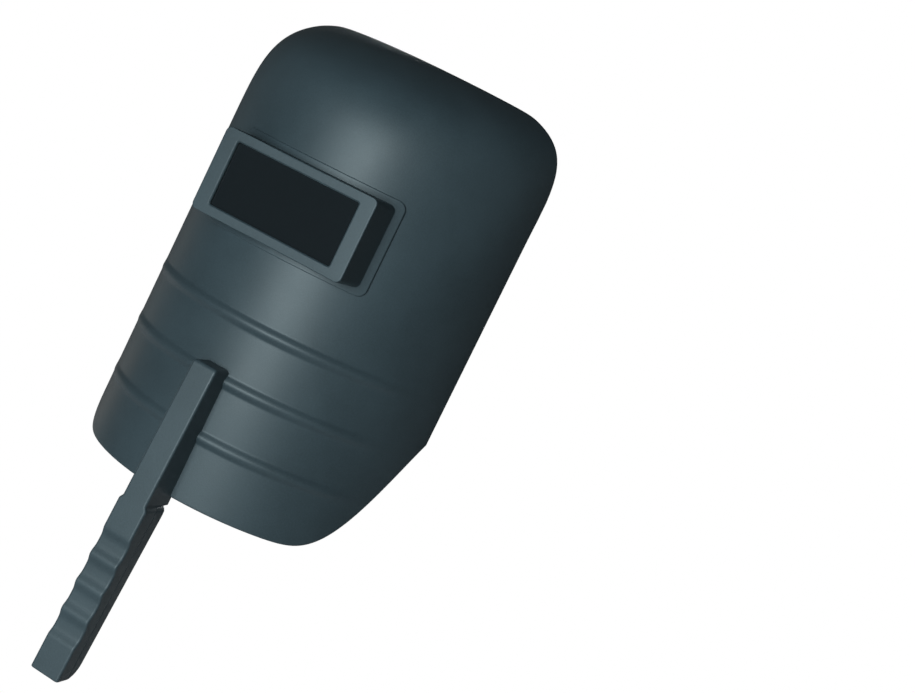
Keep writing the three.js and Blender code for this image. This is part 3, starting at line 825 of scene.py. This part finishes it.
def grip_width(z):
    share = float(smoothstep(-z, -GRIP_HAND_TOP - 2.5, -GRIP_HAND_TOP + 1.5))
    return GRIP_NECK_HALF + (GRIP_HAND_HALF - GRIP_NECK_HALF) * share


def shell_envelope(name, half_x, low, high, lift):
    """A block that fills the space behind the shell's outer surface, for cutting to fit it."""
    reach = math.asin(half_x / ELLIPSE_X)
    turns = grid_lines([-reach, reach], math.radians(1.5))
    heights = grid_lines([low, high], 0.8)
    turn_grid = np.repeat(turns[:, None], len(heights), 1)
    z_grid = np.repeat(heights[None, :], len(turns), 0)
    outer = shell_grid(turn_grid, z_grid, rib_lift(turn_grid, z_grid) + lift)
    rings = []
    for row in range(len(heights)):
        back = outer[[-1, 0], row].copy()
        back[:, 1] = 40
        rings.append(np.concatenate([outer[:, row], back]))
    return loft(name, rings)


def grip_body():
    sections = []
    for z in grip_heights(GRIP_TOP, GRIP_BOTTOM, 0.9, GRIP_END_EASE):
        inset = end_ease(z, GRIP_TOP, GRIP_BOTTOM, GRIP_END_EASE)
        inset = max(inset, end_ease(z, GRIP_TOP, -math.inf, GRIP_TOP_ROUNDING))
        back = 3 if z > GRIP_WEB[1] else grip_seam(z)
        front = scalloped_front(z) + inset
        sections.append(grip_section(grip_width(z) - inset, front, back, 1.7, 0.3, z))
    piece = loft("grip_front", sections)
    web_top, web_bottom = GRIP_WEB
    inside = lambda z: grip_front(z) + GRIP_WALL
    deep = lambda z: inside(z) + GROOVE_DEPTH
    neck = [(10, GRIP_TOP + 5), (inside(GRIP_TOP + 5), GRIP_TOP + 5), (inside(web_top), web_top)]
    neck.append((10, web_top))
    floor = GRIP_BOTTOM + 3
    hand = [(10, web_bottom), (deep(web_bottom), web_bottom), (deep(floor), floor), (10, floor)]
    cut(piece, prism("tool", neck, -GRIP_NECK_HALF + GRIP_WALL, GRIP_NECK_HALF - GRIP_WALL, 0))
    cut(piece, prism("tool", hand, -GRIP_HAND_HALF + GRIP_WALL, GRIP_HAND_HALF - GRIP_WALL, 0))
    for z in (GRIP_SCREW_Z, FOOT_SCREW_Z):
        join(piece, rod("tool", SCREW_BOSS, grip_front(z) + 1, 0.4, 0, z))
        cut(piece, rod("tool", SCREW_HOLE, grip_front(z) + GRIP_WALL, THROUGH, 0, z))
    for z in COVER_SCREW_ZS:
        join(piece, rod("tool", COVER_SCREW_BOSS, grip_front(z) + 3, grip_seam(z) - 0.5, 0, z))
        cut(piece, rod("tool", COVER_SCREW_HOLE, grip_front(z) + 6, THROUGH, 0, z))
    cut(piece, shell_envelope("tool", 30, SHELL_BOTTOM - GAP, -60, GAP))
    return shade(piece)


def grip_cover():
    sections = []
    for z in grip_heights(GRIP_COVER_TOP, GRIP_BOTTOM, 2.0, GRIP_END_EASE):
        inset = end_ease(z, GRIP_COVER_TOP, GRIP_BOTTOM, GRIP_END_EASE)
        heel = end_ease(z, math.inf, GRIP_BOTTOM, GRIP_HEEL_RADIUS)
        shoulder = max(0, 1 - (GRIP_COVER_TOP - z) / 7)
        back = grip_back(z) - min(heel, 9) - shoulder
        front = grip_seam(z) + GAP
        sections.append(grip_section(grip_width(z) - inset, front, back, 0.3, 2.2, z))
    piece = loft("grip_rear", sections)
    inner_top = GRIP_COVER_TOP - GRIP_WALL
    inner_bottom = GRIP_BOTTOM + 6
    hollow = [
        (grip_seam(inner_top) - 5, inner_top),
        (grip_seam(inner_bottom) - 5, inner_bottom),
        (grip_back(inner_bottom) - GRIP_WALL, inner_bottom),
        (grip_back(inner_top) - GRIP_WALL, inner_top),
    ]
    cut(piece, prism("tool", hollow, -GRIP_HAND_HALF + GRIP_WALL, GRIP_HAND_HALF - GRIP_WALL, 0))
    for z in COVER_SCREW_ZS:
        join(piece, rod("tool", COVER_SCREW_BOSS, grip_seam(z) + 1, grip_back(z) - 1, 0, z))
        cut(piece, rod("tool", COVER_SCREW_HOLE, grip_seam(z) - 5, THROUGH, 0, z))
        cut(piece, rod("tool", COVER_SCREW_HEAD + GAP, grip_back(z) - 2.6, THROUGH, 0, z))
    return shade(piece)


# ---- Fasteners ----------------------------------------------------------------------------------


def headed_pin(name, node, head_radius, head_height, shank_radius, recess):
    """A domed head on a plain shank along -Y, with a plain cross recess if asked."""
    centre = node_centre(node)
    tip, top = node_span(node)
    seat = top - head_height
    profile = [(shank_radius - 0.6, tip), (shank_radius, tip + 0.6), (shank_radius, seat)]
    profile += [(head_radius - 0.15, seat), (head_radius, seat + 0.15), (head_radius, seat + 0.3)]
    dome = head_height - 0.3
    for k in range(1, 9):
        turn = math.pi / 2 * k / 9
        profile.append((head_radius * math.cos(turn), seat + 0.3 + dome * math.sin(turn)))
    piece = loft(name, turned(profile, centre.x, centre.z))
    if recess:
        reach, width = head_radius * 0.55, head_radius * 0.13
        ys = (seat + head_height * 0.35, seat + head_height + 1)
        for half_x, half_z in ((reach, width), (width, reach)):
            xs = (centre.x - half_x, centre.x + half_x)
            zs = (centre.z - half_z, centre.z + half_z)
            cut(piece, block("tool", xs, ys, zs))
    return shade(piece, 30)


def place_pin(name, node, finish, head_radius, head_height, shank_radius, recess=True):
    pin = headed_pin(name, node, head_radius, head_height, shank_radius, recess)
    place(pin, "shield", finish, node)


def washer():
    front, rear = node_span("grip_washer")
    centre = node_centre("grip_washer")
    profile = [
        (WASHER_RADIUS, front), (WASHER_RADIUS, rear), (SCREW_HOLE, rear), (SCREW_HOLE, front)
    ]
    rings = turned(profile, centre.x, centre.z)
    return shade(frame_piece("flat_washer", rings, (0.15,) * 4))


# ---- Materials ----------------------------------------------------------------------------------


class Graph:
    """A material's node tree, with short calls for the nodes that the materials use."""

    def __init__(self, name):
        self.material = bpy.data.materials.new(name)
        self.material.use_nodes = True
        self.tree = self.material.node_tree
        self.tree.nodes.clear()
        self.output = self.tree.nodes.new("ShaderNodeOutputMaterial")
        self.shader = self.tree.nodes.new("ShaderNodeBsdfPrincipled")
        self.link(self.shader.outputs[0], self.output.inputs["Surface"])
        coordinates = self.tree.nodes.new("ShaderNodeTexCoord")
        self.place = coordinates.outputs["Object"]

    def link(self, source, target):
        self.tree.links.new(source, target)

    def set(self, **values):
        for name, value in values.items():
            self.shader.inputs[name.replace("_", " ")].default_value = value

    def noise(self, scale, detail=4, roughness=0.55, stretch=(1, 1, 1)):
        mapping = self.tree.nodes.new("ShaderNodeMapping")
        mapping.inputs["Scale"].default_value = stretch
        self.link(self.place, mapping.inputs["Vector"])
        node = self.tree.nodes.new("ShaderNodeTexNoise")
        node.inputs["Scale"].default_value = scale
        node.inputs["Detail"].default_value = detail
        node.inputs["Roughness"].default_value = roughness
        self.link(mapping.outputs["Vector"], node.inputs["Vector"])
        return node.outputs["Fac"]

    def cells(self, scale):
        node = self.tree.nodes.new("ShaderNodeTexVoronoi")
        node.inputs["Scale"].default_value = scale
        self.link(self.place, node.inputs["Vector"])
        return node.outputs["Distance"]

    def ramp(self, value, *stops):
        node = self.tree.nodes.new("ShaderNodeValToRGB")
        elements = node.color_ramp.elements
        while len(elements) < len(stops):
            elements.new(0.5)
        for element, (position, colour) in zip(elements, stops):
            element.position = position
            element.color = (*colour, 1)
        self.link(value, node.inputs["Fac"])
        return node.outputs["Color"]

    def remap(self, value, low, high, to_low, to_high):
        node = self.tree.nodes.new("ShaderNodeMapRange")
        ends = {"From Min": low, "From Max": high, "To Min": to_low, "To Max": to_high}
        for name, number in ends.items():
            node.inputs[name].default_value = number
        self.link(value, node.inputs["Value"])
        return node.outputs["Result"]

    def math(self, operation, a, b):
        node = self.tree.nodes.new("ShaderNodeMath")
        node.operation = operation
        for socket, value in zip(node.inputs, (a, b)):
            if isinstance(value, (int, float)):
                socket.default_value = value
            else:
                self.link(value, socket)
        return node.outputs["Value"]

    def mix(self, factor, a, b):
        node = self.tree.nodes.new("ShaderNodeMix")
        node.data_type = "RGBA"
        self.link(factor, node.inputs["Factor"])
        for name, value in (("A", a), ("B", b)):
            socket = [s for s in node.inputs if s.name == name and s.type == "RGBA"][0]
            if isinstance(value, tuple):
                socket.default_value = (*value, 1)
            else:
                self.link(value, socket)
        return [s for s in node.outputs if s.type == "RGBA"][0]

    def bump(self, height, strength, distance, under=None):
        node = self.tree.nodes.new("ShaderNodeBump")
        node.inputs["Strength"].default_value = strength
        node.inputs["Distance"].default_value = distance
        self.link(height, node.inputs["Height"])
        if under is not None:
            self.link(under, node.inputs["Normal"])
        return node.outputs["Normal"]

    def pointiness(self, low, high):
        node = self.tree.nodes.new("ShaderNodeNewGeometry")
        return self.remap(node.outputs["Pointiness"], low, high, 0, 1)

    def coat(self, colour, roughness, height, strength, distance):
        """Links a colour, a roughness and one bump to the shader."""
        self.link(colour, self.shader.inputs["Base Color"])
        self.link(roughness, self.shader.inputs["Roughness"])
        self.link(self.bump(height, strength, distance), self.shader.inputs["Normal"])


def moulded_plastic(name, colour, roughness, grain, wear_and_edge_highlight):
    """Moulded polypropylene: fine pebble grain, cloudy tone, faint scuffs, and sharp edges
    lightened partly as worn plastic and partly as a painted highlight along the rims.
    """
    g = Graph(name)
    cloud = g.noise(9, 5, 0.6)
    speckle = g.noise(900, 3, 0.7)
    dark = tuple(c * 0.80 for c in colour)
    light = tuple(c * 1.18 for c in colour)
    bright = tuple(c * 1.7 for c in colour)
    base = g.ramp(cloud, (0.3, dark), (0.7, light))
    base = g.mix(g.remap(speckle, 0.35, 0.75, 0, 0.35), base, bright)
    # A lighter tone for worn spots and scuffs, and on sharp edges also a painted highlight along
    # the rims.
    worn_and_lit_tone = tuple(min(1, c * 2.1 + 0.01) for c in colour)
    patches = g.remap(g.noise(130, 4), 0.35, 0.7, 0.15, 1)
    # Edge mask from pointiness: partly worn edges, partly a painted highlight where rounded rims
    # would catch the light.
    edge = g.math("MULTIPLY", g.pointiness(0.515, 0.62), patches)
    base = g.mix(g.math("MULTIPLY", edge, wear_and_edge_highlight), base, worn_and_lit_tone)
    scuff = g.noise(60, 6, 0.75, stretch=(1, 1, 9))
    scuffed = g.remap(scuff, 0.66, 0.78, 0, 0.16 * wear_and_edge_highlight)
    base = g.mix(scuffed, base, worn_and_lit_tone)
    g.link(base, g.shader.inputs["Base Color"])
    rough = g.math("ADD", g.remap(cloud, 0.3, 0.7, roughness - 0.05, roughness + 0.06), scuffed)
    rough = g.math("SUBTRACT", rough, g.math("MULTIPLY", edge, 0.08))
    g.link(rough, g.shader.inputs["Roughness"])
    pebble = g.bump(g.cells(grain), 0.28, 0.00012)
    fine = g.bump(g.noise(grain * 2.2, 2), 0.22, 0.00008, pebble)
    wavy = g.bump(g.noise(16, 2), 0.10, 0.0012, fine)
    g.link(wavy, g.shader.inputs["Normal"])
    return g


MATERIALS = {}


def make_plastic(finish, name, colour, roughness, grain, wear_and_edge_highlight, gloss):
    plastic = moulded_plastic(name, colour, roughness, grain, wear_and_edge_highlight)
    plastic.set(IOR=1.5, Specular_IOR_Level=gloss)
    MATERIALS[finish] = plastic.material


def make_metal(finish, name, tone, low, high, rough, grain):
    """Lightly brushed metal. low and high are ramp stops, rough is a noise scale and a range."""
    metal = Graph(name)
    metal.set(Metallic=1.0)
    colour = metal.ramp(tone(metal), low, high)
    scale, smooth, dull = rough
    roughness = metal.remap(metal.noise(scale, 4, 0.7), 0.3, 0.7, smooth, dull)
    metal.coat(colour, roughness, metal.noise(grain, 3), 0.15, 0.00006)
    MATERIALS[finish] = metal.material


def make_rubber():
    rubber = Graph("sealing_rubber")
    dust = rubber.noise(240, 5, 0.7)
    colour = rubber.ramp(dust, (0.35, (0.006, 0.006, 0.007)), (0.75, (0.022, 0.022, 0.023)))
    roughness = rubber.remap(dust, 0.3, 0.7, 0.78, 0.92)
    rubber.coat(colour, roughness, rubber.noise(1600, 3), 0.3, 0.0001)
    MATERIALS["gasket_rubber"] = rubber.material


def make_card():
    card = Graph("yellow_card_stock")
    fibre = card.noise(650, 5, 0.7, stretch=(1, 1, 4))
    colour = card.ramp(fibre, (0.3, (0.52, 0.47, 0.10)), (0.7, (0.72, 0.66, 0.18)))
    card.coat(colour, card.remap(fibre, 0.3, 0.7, 0.6, 0.8), fibre, 0.25, 0.0001)
    MATERIALS["yellow_card"] = card.material


def make_cover_plate():
    """A cover plate: a smoked, dusty sheet with a smeared film on it."""
    plate_glass = Graph("clear_cover_plate")
    plate_glass.set(Base_Color=(0.020, 0.024, 0.027, 1), Transmission_Weight=0.3, IOR=1.3)
    film = plate_glass.noise(40, 6, 0.7, stretch=(1, 1, 2.5))
    roughness = plate_glass.remap(film, 0.45, 0.8, 0.015, 0.14)
    plate_glass.link(roughness, plate_glass.shader.inputs["Roughness"])
    MATERIALS["clear_plate"] = plate_glass.material


def make_filter_glass():
    dark = Graph("welding_filter_glass")
    dark.set(IOR=1.52, Specular_IOR_Level=0.3)
    shades = ((0.3, (0.0080, 0.0105, 0.0120)), (0.7, (0.0095, 0.0125, 0.0140)))
    dark.link(dark.ramp(dark.noise(12, 2), *shades), dark.shader.inputs["Base Color"])
    smear = dark.noise(35, 6, 0.75, stretch=(1, 1, 2))
    dark.link(dark.remap(smear, 0.4, 0.8, 0.10, 0.22), dark.shader.inputs["Roughness"])
    MATERIALS["filter_glass"] = dark.material


def make_materials():
    make_plastic(
        "shell_plastic", "shell_polypropylene", (0.040, 0.058, 0.068), 0.50, 1500, 0.5, 0.62
    )
    make_plastic(
        "handle_plastic", "handle_polypropylene", (0.042, 0.060, 0.070), 0.48, 1200, 0.9, 0.62
    )
    make_plastic("black_plastic", "cassette_plastic", (0.052, 0.072, 0.084), 0.42, 1800, 1.0, 0.6)
    make_rubber()
    make_cover_plate()
    make_filter_glass()
    make_metal(
        "brass", "rivet_brass", lambda g: g.noise(300, 5, 0.6),
        (0.25, (0.62, 0.47, 0.20)), (0.7, (0.88, 0.76, 0.47)), (900, 0.2, 0.38), 700,
    )
    make_metal(
        "screw_steel", "zinc_plated_steel", lambda g: g.noise(420, 5, 0.65),
        (0.3, (0.36, 0.38, 0.40)), (0.75, (0.62, 0.64, 0.66)), (1100, 0.24, 0.46), 900,
    )
    make_card()


# ---- The pieces ---------------------------------------------------------------------------------

make_materials()

place(shell(), "shield", "shell_plastic", "shell")
place(lens_box(), "shield", "shell_plastic", "lens_box")
place(window_collar(), "shield", "shell_plastic", "window_collar")
place(plate("front_cover_plate", "cover_lens"), "cover", "clear_plate", "cover_lens")
place(gasket("front_gasket", "cover_gasket"), "cover", "gasket_rubber", "cover_gasket")
place(spacer_sleeve(), "spacer", "black_plastic", "spacer_frame")
place(gasket("rear_gasket", "filter_gasket"), "cassette", "gasket_rubber", "filter_gasket")
place(plate("dark_filter", "filter_plate"), "cassette", "filter_glass", "filter_plate")
place(plate("rear_cover_plate", "inner_lens"), "cassette", "clear_plate", "inner_lens")
place(retainer_frame(), "cassette", "black_plastic", "retainer_frame")
place(latch("upper_latch", 1), "latch_top", "black_plastic", "latch_top")
place(latch("lower_latch", -1), "latch_bottom", "black_plastic", "latch_bottom")

place(inner_handle(), "shield", "handle_plastic", "inner_handle")
place(shade_card(), "shield", "yellow_card", "shade_card")
place(grip_body(), "shield", "handle_plastic", "grip_body")
place(grip_cover(), "shield", "handle_plastic", "grip_cover")
place_pin("brass_rivet", "handle_rivet", "brass", 4, 1.9, 1.9, recess=False)
place_pin("lower_foot_screw", "foot_screw", "screw_steel", 4, 2.5, 1.9)
place(washer(), "shield", "screw_steel", "grip_washer")
place_pin("upper_grip_screw", "grip_screw", "screw_steel", 4, 2.5, 1.9)
for end in ("upper", "lower"):
    name, node = f"case_screw_{end}", f"cover_screw_{end}"
    place_pin(name, node, "screw_steel", COVER_SCREW_HEAD, 1.8, 1.3)

# ---- Camera, light and floor --------------------------------------------------------------------

CAMERA_AZIMUTH = math.radians(16.84)
CAMERA_ELEVATION = math.radians(5.24)
CAMERA_ROLL = math.radians(26.28)
CAMERA_DISTANCE = 0.9846
CAMERA_LENS = 58.13
FRAME_MIDDLE = (0.1091, -0.0929)  # from the window, right and up in the picture's plane

FLOOR_DROP = 0.30
FLOOR_REACH = 30.0
ROOM_LIGHT = 0.13  # strength of the surroundings that light the object
ROOM_OVERHEAD = 0.15  # share of it that comes from overhead


def camera_axes(azimuth, elevation, roll):
    """Right, up and towards-the-camera directions."""
    towards = Vector((
        math.sin(azimuth) * math.cos(elevation),
        -math.cos(azimuth) * math.cos(elevation),
        math.sin(elevation),
    ))
    level = Vector((math.cos(azimuth), math.sin(azimuth), 0))
    plumb = towards.cross(level)
    right = level * math.cos(roll) + plumb * math.sin(roll)
    up = plumb * math.cos(roll) - level * math.sin(roll)
    return right, up, towards


def add_camera():
    right, up, towards = camera_axes(CAMERA_AZIMUTH, CAMERA_ELEVATION, CAMERA_ROLL)
    data = bpy.data.cameras.new("camera")
    data.lens = CAMERA_LENS
    data.sensor_width = 36
    data.clip_end = 50
    camera = bpy.data.objects.new("camera", data)
    rotation = Matrix((right, up, towards)).transposed().to_4x4()
    aim = ORIGIN + right * FRAME_MIDDLE[0] + up * FRAME_MIDDLE[1]
    camera.matrix_world = Matrix.Translation(aim + towards * CAMERA_DISTANCE) @ rotation
    bpy.context.scene.collection.objects.link(camera)
    bpy.context.scene.camera = camera


def area_light(name, place_at, aim_at, size, power, colour):
    data = bpy.data.lights.new(name, "AREA")
    data.shape = "RECTANGLE"
    data.size, data.size_y = size
    data.energy = power
    data.color = colour
    light = bpy.data.objects.new(name, data)
    light.location = Vector(place_at)
    direction = Vector(place_at) - Vector(aim_at)
    light.rotation_euler = direction.to_track_quat("Z", "Y").to_euler()
    bpy.context.scene.collection.objects.link(light)


def show_white(tree, lit, seen, surface):
    """Shows the camera one shader, seen, and lights the scene with another, lit."""
    path = tree.nodes.new("ShaderNodeLightPath")
    mix = tree.nodes.new("ShaderNodeMixShader")
    tree.links.new(path.outputs["Is Camera Ray"], mix.inputs[0])
    tree.links.new(lit.outputs[0], mix.inputs[1])
    tree.links.new(seen.outputs[0], mix.inputs[2])
    tree.links.new(mix.outputs[0], surface)


def add_floor():
    """A pale floor below the object. The camera sees it plain white, without a shadow."""
    level = cad_box[0][2] - FLOOR_DROP
    reach = FLOOR_REACH
    corners = [(-reach, -reach, level), (reach, -reach, level), (reach, reach, level)]
    corners.append((-reach, reach, level))
    floor = bpy.data.objects.new("floor", bpy.data.meshes.new("floor"))
    floor.data.from_pydata(corners, [], [(0, 1, 2, 3)])
    bpy.context.scene.collection.objects.link(floor)
    paint = Graph("pale_floor")
    tone = paint.ramp(paint.noise(3, 3), (0.3, (0.36, 0.36, 0.36)), (0.7, (0.40, 0.40, 0.40)))
    paint.link(tone, paint.shader.inputs["Base Color"])
    paint.set(Roughness=0.9)
    seen = paint.tree.nodes.new("ShaderNodeEmission")
    show_white(paint.tree, paint.shader, seen, paint.output.inputs["Surface"])
    floor.data.materials.append(paint.material)


def add_world():
    """White behind the object. What lights it is dimmer, and darkest overhead."""
    world = bpy.data.worlds.new("studio")
    bpy.context.scene.world = world
    world.use_nodes = True
    tree = world.node_tree
    seen = tree.nodes["Background"]
    seen.inputs["Color"].default_value = (1.0, 1.0, 1.0, 1)
    seen.inputs["Strength"].default_value = 1.0
    room = tree.nodes.new("ShaderNodeBackground")
    room.inputs["Color"].default_value = (0.97, 1.0, 0.97, 1)
    coordinates = tree.nodes.new("ShaderNodeTexCoord")
    height = tree.nodes.new("ShaderNodeSeparateXYZ")
    level = tree.nodes.new("ShaderNodeMapRange")
    level.inputs["From Min"].default_value = -0.2
    level.inputs["From Max"].default_value = 0.7
    level.inputs["To Min"].default_value = ROOM_LIGHT
    level.inputs["To Max"].default_value = ROOM_LIGHT * ROOM_OVERHEAD
    tree.links.new(coordinates.outputs["Generated"], height.inputs[0])
    tree.links.new(height.outputs["Z"], level.inputs["Value"])
    tree.links.new(level.outputs[0], room.inputs["Strength"])
    show_white(tree, room, seen, tree.nodes["World Output"].inputs["Surface"])


add_camera()
add_floor()
add_world()
bpy.context.scene.view_settings.view_transform = "Standard"
area_light("key", (0.12, -1.6, 0.33), (0.0, 0, 0.20), (0.7, 0.7), 24, (0.80, 0.96, 1.0))
area_light("behind", (-0.35, 1.7, 0.55), (0, 0.05, 0.2), (0.9, 0.7), 30, (0.94, 0.98, 1.0))
area_light("side", (-1.2, 0.6, -0.1), (0, 0.05, 0.15), (0.5, 0.6), 0.5, (1.0, 0.95, 0.88))
